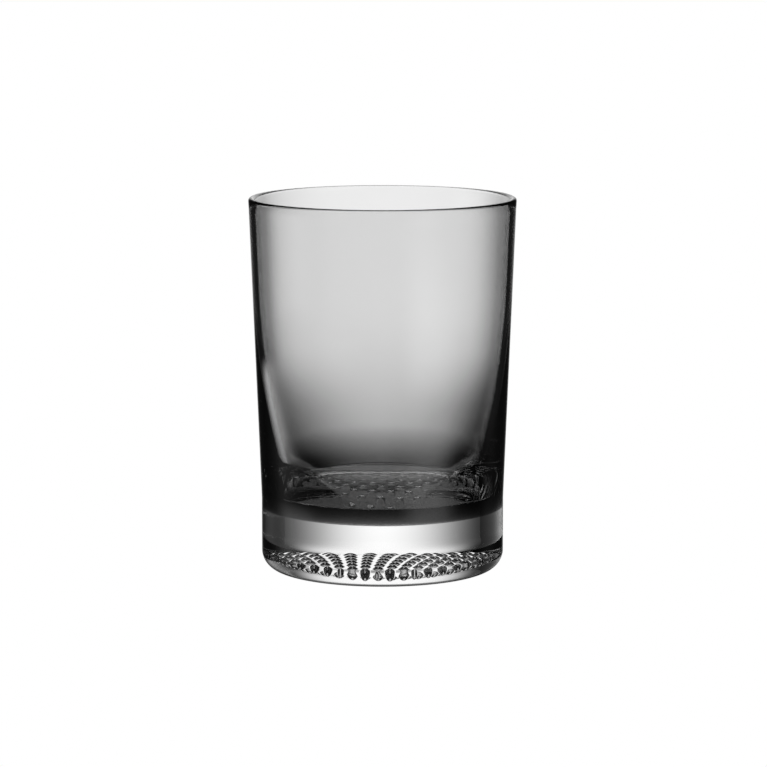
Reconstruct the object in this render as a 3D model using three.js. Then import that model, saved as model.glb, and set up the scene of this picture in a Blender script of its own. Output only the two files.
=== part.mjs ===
import * as THREE from 'three';

// Whiskey tumbler: a smoke-grey glass bowl fused hot onto a thick clear glass base.
// Millimetres, +Z up, origin at the centre of the foot plane on the axis of revolution.

// Driving dimensions
const HEIGHT = 112;
const RIM_RADIUS = 40;
const BASE_RADIUS = 36.3;
const TAPER_START_HEIGHT = 22;

const WALL = 1.85;
const THICKENING_START_HEIGHT = 85;
const THICKENING = 4.15;
const THICKENING_POWER = 2.25;

const CORNER_HEIGHT = 35;
const CORNER_REACH = 3;
const CORNER_BEND = [26.6, 26.6];
const FLOOR_EDGE = [24.6, 23.4];
const FLOOR_HEIGHT = 22.6;
const FLOOR_RADIUS = 23.7;

const HEEL_RADIUS = 5.8;
const FOOT_INNER_RADIUS = 29.6;
const PUNT_HEIGHT = 4;
const PUNT_POWER = 5;

const FUSION_EDGE_HEIGHT = 19.4;
const FUSION_CENTRE_HEIGHT = 16;

const SEGMENTS = 72;
const HEEL_STEPS = 6;
const WALL_STEPS = 9;
const CORNER_STEPS = 7;
const LIP_STEPS = 6;
const FUSION_STEPS = 5;
const PUNT_STEPS = 8;

// Outer radius of the wall: upright over the base, then an even flare up to the rim.
function outerRadius(height) {
  const rise = Math.max(0, height - TAPER_START_HEIGHT) / (HEIGHT - TAPER_START_HEIGHT);
  return BASE_RADIUS + (RIM_RADIUS - BASE_RADIUS) * rise;
}

// Points of an arc about (centreRadius, centreHeight), from one angle to another, both ends included.
function arc(centreRadius, centreHeight, radius, from, to, steps) {
  const points = [];
  for (let step = 0; step <= steps; step += 1) {
    const angle = from + (to - from) * step / steps;
    const x = centreRadius + radius * Math.cos(angle);
    points.push(new THREE.Vector2(x, centreHeight + radius * Math.sin(angle)));
  }
  return points;
}

// Fused face between the two glasses: a shallow dish, from its centre out to the wall.
function fusionDish() {
  const points = [];
  for (let step = 0; step <= FUSION_STEPS; step += 1) {
    const share = step / FUSION_STEPS;
    const height = FUSION_CENTRE_HEIGHT + (FUSION_EDGE_HEIGHT - FUSION_CENTRE_HEIGHT) * share ** 2;
    points.push(new THREE.Vector2(BASE_RADIUS * share, height));
  }
  return points;
}

// Inner radius of the wall, which keeps one thickness near the rim and gets thicker downwards.
function innerRadius(height) {
  const depth = Math.max(0, THICKENING_START_HEIGHT - height) / (THICKENING_START_HEIGHT - CORNER_HEIGHT);
  return outerRadius(height) - WALL - THICKENING * depth ** THICKENING_POWER;
}

// Rounded lip, over the top from the outer wall to the inner wall.
function lip() {
  const radius = WALL / 2;
  return arc(RIM_RADIUS - radius, HEIGHT - radius, radius, 0, Math.PI, LIP_STEPS);
}

// Inner wall, from just under the lip down to where the corner starts.
function innerWall() {
  const points = [];
  const drop = HEIGHT - WALL / 2 - CORNER_HEIGHT;
  for (let step = 1; step <= WALL_STEPS; step += 1) {
    const height = CORNER_HEIGHT + drop * (1 - step / WALL_STEPS);
    points.push(new THREE.Vector2(innerRadius(height), height));
  }
  return points;
}

// Corner between the inner wall and the flat cavity floor, which ends on the axis.
function cornerAndFloor(wallFoot) {
  const lean = innerRadius(CORNER_HEIGHT + 1) - wallFoot.x;
  const low = new THREE.Vector2(wallFoot.x - lean * CORNER_REACH, CORNER_HEIGHT - CORNER_REACH);
  const bend = new THREE.Vector2(...CORNER_BEND);
  const edge = new THREE.Vector2(...FLOOR_EDGE);
  const corner = new THREE.CubicBezierCurve(wallFoot, low, bend, edge).getPoints(CORNER_STEPS);
  const floorRim = new THREE.Vector2(FLOOR_RADIUS, FLOOR_HEIGHT);
  return [...corner.slice(1), floorRim, new THREE.Vector2(0, FLOOR_HEIGHT)];
}

function bowlGeometry() {
  const taperStart = new THREE.Vector2(outerRadius(TAPER_START_HEIGHT), TAPER_START_HEIGHT);
  const wall = innerWall();
  const inside = [...wall, ...cornerAndFloor(wall[wall.length - 1])];
  return new THREE.LatheGeometry([...fusionDish(), taperStart, ...lip(), ...inside], SEGMENTS);
}

// Underside inside the foot ring: a punt that is nearly flat in the middle and falls to the ring.
function punt() {
  const points = [new THREE.Vector2(0, PUNT_HEIGHT)];
  for (let step = 1; step <= PUNT_STEPS; step += 1) {
    const share = Math.sin((Math.PI / 2) * (step / PUNT_STEPS));
    points.push(new THREE.Vector2(FOOT_INNER_RADIUS * share, PUNT_HEIGHT * (1 - share ** PUNT_POWER)));
  }
  return points;
}

function baseGeometry() {
  const heelCentre = BASE_RADIUS - HEEL_RADIUS;
  const heel = arc(heelCentre, HEEL_RADIUS, HEEL_RADIUS, -Math.PI / 2, 0, HEEL_STEPS);
  return new THREE.LatheGeometry([...punt(), ...heel, ...fusionDish().reverse()], SEGMENTS);
}

// LatheGeometry turns its outline about Y, so each solid is tipped up to stand along Z.
function glassPart(name, geometry, colour, opacity) {
  geometry.rotateX(Math.PI / 2);
  const material = new THREE.MeshStandardMaterial({
    color: colour,
    roughness: 0.03,
    metalness: 0,
    transparent: true,
    opacity,
  });
  const mesh = new THREE.Mesh(geometry, material);
  mesh.name = name;
  return mesh;
}

const tumbler = new THREE.Group();
tumbler.add(glassPart('smoke_bowl', bowlGeometry(), 0x5c5d5f, 0.6));
tumbler.add(glassPart('clear_base', baseGeometry(), 0xf4f6f6, 0.3));

export default tumbler;
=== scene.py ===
import math

import bpy
import numpy as np
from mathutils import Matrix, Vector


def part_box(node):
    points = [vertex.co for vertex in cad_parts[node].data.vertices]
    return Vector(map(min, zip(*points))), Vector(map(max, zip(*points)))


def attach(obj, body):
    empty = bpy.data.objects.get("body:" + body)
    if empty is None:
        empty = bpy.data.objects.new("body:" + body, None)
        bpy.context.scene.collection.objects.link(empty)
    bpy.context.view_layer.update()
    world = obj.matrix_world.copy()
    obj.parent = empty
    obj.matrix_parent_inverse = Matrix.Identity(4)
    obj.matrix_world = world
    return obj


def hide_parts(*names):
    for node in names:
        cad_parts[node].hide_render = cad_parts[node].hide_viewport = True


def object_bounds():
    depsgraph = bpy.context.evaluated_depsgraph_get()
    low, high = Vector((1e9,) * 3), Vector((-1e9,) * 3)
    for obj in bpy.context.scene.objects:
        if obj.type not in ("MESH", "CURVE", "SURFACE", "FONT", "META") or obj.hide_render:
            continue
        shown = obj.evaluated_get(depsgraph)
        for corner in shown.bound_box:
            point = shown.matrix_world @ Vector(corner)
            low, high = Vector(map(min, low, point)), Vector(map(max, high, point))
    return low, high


MM = 0.001

# ---------------------------------------------------------------- frame
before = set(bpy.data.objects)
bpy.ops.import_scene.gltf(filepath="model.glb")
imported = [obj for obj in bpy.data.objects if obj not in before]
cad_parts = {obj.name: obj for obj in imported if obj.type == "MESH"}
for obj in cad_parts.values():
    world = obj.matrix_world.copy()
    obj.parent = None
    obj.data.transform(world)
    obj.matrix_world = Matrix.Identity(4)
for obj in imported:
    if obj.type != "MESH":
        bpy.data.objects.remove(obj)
cad_low, cad_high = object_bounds()
bowl_low, bowl_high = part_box("smoke_bowl")
base_low, base_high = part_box("clear_base")

HEIGHT = bowl_high[2]
RIM_RADIUS = (bowl_high[0] - bowl_low[0]) / 2
BASE_RADIUS = (base_high[0] - base_low[0]) / 2
FUSION_EDGE_HEIGHT = base_high[2]
FUSION_CENTRE_HEIGHT = bowl_low[2]

# ---------------------------------------------------------------- sizes, in metres
TAPER_START_HEIGHT = 22 * MM
WALL = 1.85 * MM
LIP_RADIUS = WALL / 2
THICKENING_START_HEIGHT = 85 * MM
THICKENING = 4.15 * MM
THICKENING_POWER = 2.25

CORNER_HEIGHT = 35 * MM
CORNER_REACH = 3 * MM
CORNER_BEND = (26.6 * MM, 26.6 * MM)
FLOOR_EDGE = (24.6 * MM, 23.4 * MM)
FLOOR_HEIGHT = 22.6 * MM
FLOOR_RADIUS = 23.7 * MM

HEEL_RADIUS = 5.8 * MM
FOOT_INNER_RADIUS = 29.6 * MM
PUNT_HEIGHT = 4 * MM
PUNT_POWER = 5

RELIEF_PITCH = 4.4 * MM
RELIEF_HEIGHT = 0.8 * MM
RELIEF_LAND = 0.15
RELIEF_TURN = math.radians(41.2)
RELIEF_FADE = 0.6 * MM

# Gap at the fused face, which keeps the two closed solids from sharing a surface.
FUSION_GAP = 0.01 * MM

SEGMENTS = 384
BASE_SEGMENTS = 1152
DISH_STEPS = 24
WALL_STEPS = 39
LIP_STEPS = 16
INNER_WALL_STEPS = 49
CORNER_STEPS = 28
BEND_STEPS = 10
FLOOR_STEPS = 9
PUNT_STEPS = 179
HEEL_STEPS = 24
SIDE_STEPS = 7

# ---------------------------------------------------------------- glass
# Absorption is per metre, and the noise scales are per metre too.
SMOKE_ABSORPTION = 80.0
GLASS_IOR = 1.5
WAVE_SCALE = 45.0
WAVE_DETAIL = 1
WAVE_HEIGHT = 0.02 * MM
MARK_SCALE = 220.0
MARK_DETAIL = 6
MARK_RANGE = (0.6, 0.85)
MARK_ROUGHNESS = 0.02
FOOT_WEAR_HEIGHT = 0.08 * MM
FOOT_WEAR_ROUGHNESS = 0.35


def outer_radius(height):
    rise = max(0.0, height - TAPER_START_HEIGHT) / (HEIGHT - TAPER_START_HEIGHT)
    return BASE_RADIUS + (RIM_RADIUS - BASE_RADIUS) * rise


def arc(centre, radius, start, end, steps):
    angles = np.linspace(start, end, steps + 1)
    return [(centre[0] + radius * math.cos(a), centre[1] + radius * math.sin(a)) for a in angles]


def bezier(p0, p1, p2, p3, steps):
    t = np.linspace(0, 1, steps + 1)[:, None]
    p0, p1, p2, p3 = map(np.array, (p0, p1, p2, p3))
    points = (1 - t) ** 3 * p0 + 3 * (1 - t) ** 2 * t * p1 + 3 * (1 - t) * t**2 * p2 + t**3 * p3
    return [tuple(p) for p in points]


def fusion_dish(offset):
    shares = np.linspace(0, 1, DISH_STEPS + 1)
    rise = FUSION_EDGE_HEIGHT - FUSION_CENTRE_HEIGHT
    return [(BASE_RADIUS * s, FUSION_CENTRE_HEIGHT + rise * s**2 + offset) for s in shares]


def inner_radius(height):
    depth = max(0.0, THICKENING_START_HEIGHT - height) / (THICKENING_START_HEIGHT - CORNER_HEIGHT)
    return outer_radius(height) - WALL - THICKENING * depth**THICKENING_POWER


def bowl_outline():
    """Outline of the smoke bowl and how many of its first bands are the fused face."""
    dish = fusion_dish(FUSION_GAP)
    lip_height = HEIGHT - LIP_RADIUS
    wall = [(outer_radius(z), z) for z in np.linspace(dish[-1][1], lip_height, WALL_STEPS + 1)[1:-1]]
    lip = arc((RIM_RADIUS - LIP_RADIUS, lip_height), LIP_RADIUS, 0, math.pi, LIP_STEPS)
    inner_heights = np.linspace(lip_height, CORNER_HEIGHT, INNER_WALL_STEPS + 1)[1:]
    wall_in = [(inner_radius(z), z) for z in inner_heights]
    foot = wall_in[-1]
    lean = (wall_in[-2][0] - foot[0]) / (wall_in[-2][1] - foot[1])
    low = (foot[0] - lean * CORNER_REACH, foot[1] - CORNER_REACH)
    corner = bezier(foot, low, CORNER_BEND, FLOOR_EDGE, CORNER_STEPS)[1:]
    lean = (CORNER_BEND[0] - FLOOR_EDGE[0]) / (CORNER_BEND[1] - FLOOR_EDGE[1])
    bend = (FLOOR_EDGE[0] - lean * (FLOOR_EDGE[1] - FLOOR_HEIGHT), FLOOR_HEIGHT)
    corner += bezier(FLOOR_EDGE, bend, bend, (FLOOR_RADIUS, FLOOR_HEIGHT), BEND_STEPS)[1:]
    floor = [(FLOOR_RADIUS * s, FLOOR_HEIGHT) for s in np.linspace(1, 0, FLOOR_STEPS + 1)[1:]]
    return dish + wall + lip + wall_in + corner + floor, len(dish) - 1


def relief(x, y):
    """Height of the pressed relief, from 0 to 1: a lattice of rounded dents between flat lands."""
    c, s = math.cos(RELIEF_TURN), math.sin(RELIEF_TURN)
    u = (c * x + s * y) / RELIEF_PITCH * 2 * np.pi
    v = (-s * x + c * y) / RELIEF_PITCH * 2 * np.pi
    return np.maximum(0, -(np.cos(u) + np.cos(v)) / 2 - RELIEF_LAND) / (1 - RELIEF_LAND)


def base_outline():
    """Outline of the clear base and where its relief ends and its fused face starts."""
    shares = np.linspace(0, 1, PUNT_STEPS + 1)
    under = [(FOOT_INNER_RADIUS * s, PUNT_HEIGHT * (1 - s**PUNT_POWER)) for s in shares]
    heel = arc((BASE_RADIUS - HEEL_RADIUS, HEEL_RADIUS), HEEL_RADIUS, -math.pi / 2, 0, HEEL_STEPS)
    side_heights = np.linspace(HEEL_RADIUS, FUSION_EDGE_HEIGHT, SIDE_STEPS + 1)[1:-1]
    side = [(BASE_RADIUS, z) for z in side_heights]
    dish = fusion_dish(0)[::-1]
    outline = under + heel + side + dish
    return outline, len(under), len(outline) - len(dish)


def add_object(name, data):
    item = bpy.data.objects.new(name, data)
    bpy.context.scene.collection.objects.link(item)
    return item


def lathe(name, outline, segments, fused_from, fused_to, height_offset=None):
    """Closed solid of revolution. Bands fused_from to fused_to get 1 in the attribute "fused"."""
    turn = np.arange(segments) * 2 * math.pi / segments
    ring_r = np.array([p[0] for p in outline])
    ring_z = np.array([p[1] for p in outline])
    inner = np.arange(1, len(outline) - 1)
    x = ring_r[inner][:, None] * np.cos(turn)
    y = ring_r[inner][:, None] * np.sin(turn)
    z = np.repeat(ring_z[inner][:, None], segments, axis=1)
    if height_offset is not None:
        z = z + height_offset(x, y, inner[:, None])
    points = np.stack([x, y, z], axis=-1).reshape(-1, 3)
    start_z, end_z = ring_z[0], ring_z[-1]
    if height_offset is not None:
        start_z = start_z + float(height_offset(np.zeros(1), np.zeros(1), np.zeros(1))[0])
    points = np.vstack([points, [[0, 0, start_z], [0, 0, end_z]]])
    start, end = len(points) - 2, len(points) - 1
    faces, fused = [], []
    nxt = (np.arange(segments) + 1) % segments
    for band in range(len(outline) - 1):
        flag = 1.0 if fused_from <= band < fused_to else 0.0
        if band == 0:
            faces += [(start, int(n), i) for i, n in enumerate(nxt)]
        elif band == len(outline) - 2:
            row = (band - 1) * segments
            faces += [(row + i, row + int(n), end) for i, n in enumerate(nxt)]
        else:
            a, b = (band - 1) * segments, band * segments
            faces += [(a + i, a + int(n), b + int(n), b + i) for i, n in enumerate(nxt)]
        fused += [flag] * segments
    mesh = bpy.data.meshes.new(name)
    mesh.from_pydata(points.tolist(), [], faces)
    mesh.polygons.foreach_set("use_smooth", [True] * len(faces))
    layer = mesh.attributes.new("fused", "FLOAT", "FACE")
    layer.data.foreach_set("value", fused)
    mesh.update()
    return add_object(name, mesh)


def mark_ring_sharp(piece, ring, segments):
    """Marks the edges round one ring sharp. Rings count from the outline's second point."""
    first = (ring - 1) * segments
    last = first + segments
    edges = piece.data.edges
    ends = np.zeros(len(edges) * 2, dtype=np.int64)
    edges.foreach_get("vertices", ends)
    ends = ends.reshape(-1, 2)
    on_ring = ((ends >= first) & (ends < last)).all(axis=1)
    attributes = piece.data.attributes
    layer = attributes.get("sharp_edge") or attributes.new("sharp_edge", "BOOLEAN", "EDGE")
    old = np.zeros(len(edges), dtype=bool)
    layer.data.foreach_get("value", old)
    layer.data.foreach_set("value", old | on_ring)


def math_node(tree, operation, *values):
    node = tree.nodes.new("ShaderNodeMath")
    node.operation = operation
    for socket, value in zip(node.inputs, values):
        if isinstance(value, (int, float)):
            socket.default_value = value
        else:
            tree.links.new(value, socket)
    return node.outputs[0]


def bell(tree, value, width, power):
    """1 where value is 0, falling to 0 on both sides, more sharply for a higher power."""
    share = math_node(tree, "DIVIDE", math_node(tree, "ABSOLUTE", value), width)
    fall = math_node(tree, "MULTIPLY", math_node(tree, "POWER", share, power), -1.0)
    return math_node(tree, "EXPONENT", fall)


def ramp(tree, value, start, end, top=1.0):
    """Rises evenly from 0 to top as value goes from start to end."""
    node = tree.nodes.new("ShaderNodeMapRange")
    node.inputs["From Min"].default_value = start
    node.inputs["From Max"].default_value = end
    node.inputs["To Max"].default_value = top
    tree.links.new(value, node.inputs["Value"])
    return node.outputs[0]


def fade(tree, value, start, end):
    """Rises softly from 0 to 1 as value goes from start to end."""
    level = ramp(tree, value, start, end)
    level.node.interpolation_type = "SMOOTHSTEP"
    return level


def noise(tree, coords, scale, detail):
    node = tree.nodes.new("ShaderNodeTexNoise")
    node.inputs["Scale"].default_value = scale
    node.inputs["Detail"].default_value = detail
    tree.links.new(coords, node.inputs["Vector"])
    return node.outputs["Fac"]


def split_xyz(tree, vector):
    node = tree.nodes.new("ShaderNodeSeparateXYZ")
    tree.links.new(vector, node.inputs[0])
    return node.outputs


def empty_material(name):
    """A node material without a shader, as the material, its tree and its output node."""
    material = bpy.data.materials.new(name)
    material.use_nodes = True
    tree = material.node_tree
    tree.nodes.clear()
    return material, tree, tree.nodes.new("ShaderNodeOutputMaterial")


def add_surface_detail(tree, glass):
    """Faint waves left by the mould and the flame, handling marks, and a dull worn foot ring."""
    coords = tree.nodes.new("ShaderNodeTexCoord").outputs["Object"]
    bump = tree.nodes.new("ShaderNodeBump")
    bump.inputs["Strength"].default_value = 1
    bump.inputs["Distance"].default_value = WAVE_HEIGHT
    tree.links.new(noise(tree, coords, WAVE_SCALE, WAVE_DETAIL), bump.inputs["Height"])
    tree.links.new(bump.outputs["Normal"], glass.inputs["Normal"])
    marks = noise(tree, coords, MARK_SCALE, MARK_DETAIL)
    handled = ramp(tree, marks, *MARK_RANGE, MARK_ROUGHNESS)
    worn = ramp(tree, split_xyz(tree, coords)["Z"], FOOT_WEAR_HEIGHT, 0, FOOT_WEAR_ROUGHNESS)
    tree.links.new(math_node(tree, "ADD", handled, worn), glass.inputs["Roughness"])


def glass_material(name, absorption):
    """Refracting glass, see-through at the fused face. The absorption gives the grey."""
    material, tree, output = empty_material(name)
    glass = tree.nodes.new("ShaderNodeBsdfPrincipled")
    glass.inputs["Base Color"].default_value = (1, 1, 1, 1)
    glass.inputs["Transmission Weight"].default_value = 1
    glass.inputs["IOR"].default_value = GLASS_IOR
    tree.links.new(glass.outputs["BSDF"], output.inputs["Surface"])
    add_surface_detail(tree, glass)
    fused = tree.nodes.new("ShaderNodeAttribute")
    fused.attribute_name = "fused"
    tree.links.new(math_node(tree, "SUBTRACT", 1, fused.outputs["Fac"]), glass.inputs["Alpha"])
    if absorption:
        volume = tree.nodes.new("ShaderNodeVolumeAbsorption")
        volume.inputs["Color"].default_value = (0, 0, 0, 1)
        volume.inputs["Density"].default_value = absorption
        tree.links.new(volume.outputs["Volume"], output.inputs["Volume"])
    return material


def make_bowl():
    outline, fused_bands = bowl_outline()
    piece = lathe("smoke_bowl_glass", outline, SEGMENTS, 0, fused_bands)
    mark_ring_sharp(piece, fused_bands, SEGMENTS)
    piece.data.materials.append(glass_material("smoke_glass", SMOKE_ABSORPTION))
    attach(piece, "root")
    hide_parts("smoke_bowl")


def make_base():
    outline, relief_rings, fused_from = base_outline()
    edge = outline[relief_rings - 1][0]

    def offset(x, y, ring):
        r = np.hypot(x, y)
        fade = np.clip((edge - r) / RELIEF_FADE, 0, 1)
        return np.where(ring < relief_rings, relief(x, y) * RELIEF_HEIGHT * fade, 0.0)

    piece = lathe("clear_base_glass", outline, BASE_SEGMENTS, fused_from, len(outline), offset)
    mark_ring_sharp(piece, fused_from, BASE_SEGMENTS)
    piece.data.materials.append(glass_material("clear_glass", 0))
    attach(piece, "root")
    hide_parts("clear_base")


# ---------------------------------------------------------------- stage
# The floor and backdrop are pale for the camera alone. What the glass refracts and reflects is
# a separate set-up: a dim room with far panels, and a close screen that the camera can't see.
PALE = 1.0
ROOM_LEVEL = 0.012

SCREEN_RADIUS = 170 * MM
SCREEN_TURN = 32
SCREEN_LOW = -110 * MM
SCREEN_HIGH = 700 * MM
SCREEN_STEPS = 32
TABLE_STEPS = 64
TABLE_LEVEL = 0.2
TABLE_FADE = 4 * MM
# Soft panels on the screen: turn from +Y towards +X and half width in degrees, how sharply
# the sides end, level, and the heights in mm between which the panel fades in and fades out.
SCREEN_PANELS = [
    (0, 15.9, 1.9, 1.06, (-100, -10), (-10, 35)),
    (0, 21.2, 4.0, 1.04, (-10, 35), (600, 650)),
]
# Far panels of the room, in the same form, with elevations in degrees in place of the heights.
# The last three stand opposite a camera at 45, 225 and 90 degrees, and light the glass for it.
ROOM_PANELS = [
    (-62, 14, 2.0, 0.045, (-14, -10), (60, 80)),
    (62, 14, 2.0, 0.045, (-14, -10), (60, 80)),
    (-45, 22, 3.0, 1.0, (-42, -36), (-20, -16)),
    (135, 22, 3.0, 1.0, (-30, -24), (-12, -9)),
    (-90, 22, 3.0, 1.0, (-14, -9), (40, 60)),
]

FLOOR_HALF_SIZE = 6.0
FLOOR_DROP = 0.02 * MM

CAMERA_DISTANCE = 1.170
CAMERA_HEIGHT = 0.2235
CAMERA_PITCH = math.radians(8.15)
CAMERA_SIDE = 0.0003
CAMERA_LENS = 185.0
CAMERA_SENSOR = 36
CAMERA_REACH = 50

# Light crosses many faces in a relief under two solids, so the paths are long.
GLASS_BOUNCES = 32
GLOSSY_BOUNCES = 16


def add_panels(tree, panels, around, up, base, unit):
    """Sum of soft panels: around is the turn, up the height or elevation, counted in unit."""
    total = base
    for turn, width, power, level, rise, fall in panels:
        aside = math_node(tree, "SUBTRACT", around, math.radians(turn))
        aside = math_node(tree, "WRAP", aside, math.pi, -math.pi)
        panel = math_node(tree, "MULTIPLY", bell(tree, aside, math.radians(width), power), level)
        low = fade(tree, up, rise[0] * unit, rise[1] * unit)
        high = fade(tree, up, fall[1] * unit, fall[0] * unit)
        panel = math_node(tree, "MULTIPLY", math_node(tree, "MULTIPLY", panel, low), high)
        total = math_node(tree, "ADD", panel, total)
    return total


def make_world():
    """A pale backdrop for the camera, and a dim room with far panels for the light in the glass."""
    world = bpy.data.worlds.new("studio")
    bpy.context.scene.world = world
    world.use_nodes = True
    tree = world.node_tree
    background = tree.nodes["Background"]
    coords = tree.nodes.new("ShaderNodeTexCoord")
    way = split_xyz(tree, coords.outputs["Generated"])
    around = math_node(tree, "ARCTAN2", way["X"], way["Y"])
    up = math_node(tree, "ARCSINE", way["Z"])
    room = add_panels(tree, ROOM_PANELS, around, up, ROOM_LEVEL, math.radians(1))
    path = tree.nodes.new("ShaderNodeLightPath")
    camera = path.outputs["Is Camera Ray"]
    room = math_node(tree, "MULTIPLY", room, math_node(tree, "SUBTRACT", 1.0, camera))
    level = math_node(tree, "MULTIPLY_ADD", camera, PALE, room)
    tree.links.new(level, background.inputs["Strength"])
    background.inputs["Color"].default_value = (1, 1, 1, 1)


def screen_mesh():
    """The upright curved sheet, and the round table at its foot."""
    half = math.radians(SCREEN_TURN)
    turns = [-half + 2 * half * i / SCREEN_STEPS for i in range(SCREEN_STEPS + 1)]
    rim = [2 * math.pi * i / TABLE_STEPS for i in range(TABLE_STEPS)]
    places = [(a, z) for z in (SCREEN_LOW, SCREEN_HIGH) for a in turns]
    first = len(places)
    places += [(a, SCREEN_LOW) for a in rim]
    points = [(SCREEN_RADIUS * math.sin(a), SCREEN_RADIUS * math.cos(a), z) for a, z in places]
    above = SCREEN_STEPS + 1
    faces = [(i, i + 1, above + i + 1, above + i) for i in range(SCREEN_STEPS)]
    faces.append(tuple(range(first, len(points))))
    mesh = bpy.data.meshes.new("screen")
    mesh.from_pydata(points, [], faces)
    return mesh


def screen_material():
    """Adds the panels' light to whatever of the room is behind the screen."""
    material, tree, output = empty_material("screen")
    place = tree.nodes.new("ShaderNodeNewGeometry")
    at = split_xyz(tree, place.outputs["Position"])
    around = math_node(tree, "ARCTAN2", at["X"], at["Y"])
    table = fade(tree, at["Z"], SCREEN_LOW + TABLE_FADE, SCREEN_LOW)
    base = math_node(tree, "MULTIPLY", table, TABLE_LEVEL)
    emission = tree.nodes.new("ShaderNodeEmission")
    room_behind = tree.nodes.new("ShaderNodeBsdfTransparent")
    both = tree.nodes.new("ShaderNodeAddShader")
    level = add_panels(tree, SCREEN_PANELS, around, at["Z"], base, MM)
    tree.links.new(level, emission.inputs["Strength"])
    tree.links.new(emission.outputs[0], both.inputs[0])
    tree.links.new(room_behind.outputs[0], both.inputs[1])
    tree.links.new(both.outputs[0], output.inputs["Surface"])
    return material


def make_screen():
    """Curved screen close behind the glass and a low table under it, seen only through the glass."""
    screen = add_object("screen", screen_mesh())
    screen.visible_camera = False
    screen.visible_diffuse = False
    screen.visible_shadow = False
    screen.data.materials.append(screen_material())


def make_floor():
    """Evenly pale floor, seen by the camera and not by the glass."""
    size = FLOOR_HALF_SIZE
    mesh = bpy.data.meshes.new("floor")
    corners = [(-size, -size, 0), (size, -size, 0), (size, size, 0), (-size, size, 0)]
    mesh.from_pydata(corners, [], [(0, 1, 2, 3)])
    floor = add_object("floor", mesh)
    floor.location.z = cad_low[2] - FLOOR_DROP
    floor.visible_transmission = False
    floor.visible_glossy = False
    material, tree, output = empty_material("floor")
    emission = tree.nodes.new("ShaderNodeEmission")
    emission.inputs["Strength"].default_value = PALE
    tree.links.new(emission.outputs[0], output.inputs["Surface"])
    mesh.materials.append(material)


def make_camera():
    data = bpy.data.cameras.new("camera")
    data.sensor_width = CAMERA_SENSOR
    data.lens = CAMERA_LENS
    data.clip_end = CAMERA_REACH
    camera = add_object("camera", data)
    camera.location = (CAMERA_SIDE, -CAMERA_DISTANCE, CAMERA_HEIGHT)
    camera.rotation_euler = (math.pi / 2 - CAMERA_PITCH, 0, 0)
    bpy.context.scene.camera = camera


def set_up_render():
    scene = bpy.context.scene
    scene.view_settings.view_transform = "Standard"
    scene.cycles.max_bounces = GLASS_BOUNCES
    scene.cycles.transmission_bounces = GLASS_BOUNCES
    scene.cycles.transparent_max_bounces = GLASS_BOUNCES
    scene.cycles.glossy_bounces = GLOSSY_BOUNCES
    scene.cycles.use_denoising = True


make_camera()
make_bowl()
make_base()
make_world()
make_screen()
make_floor()
set_up_render()
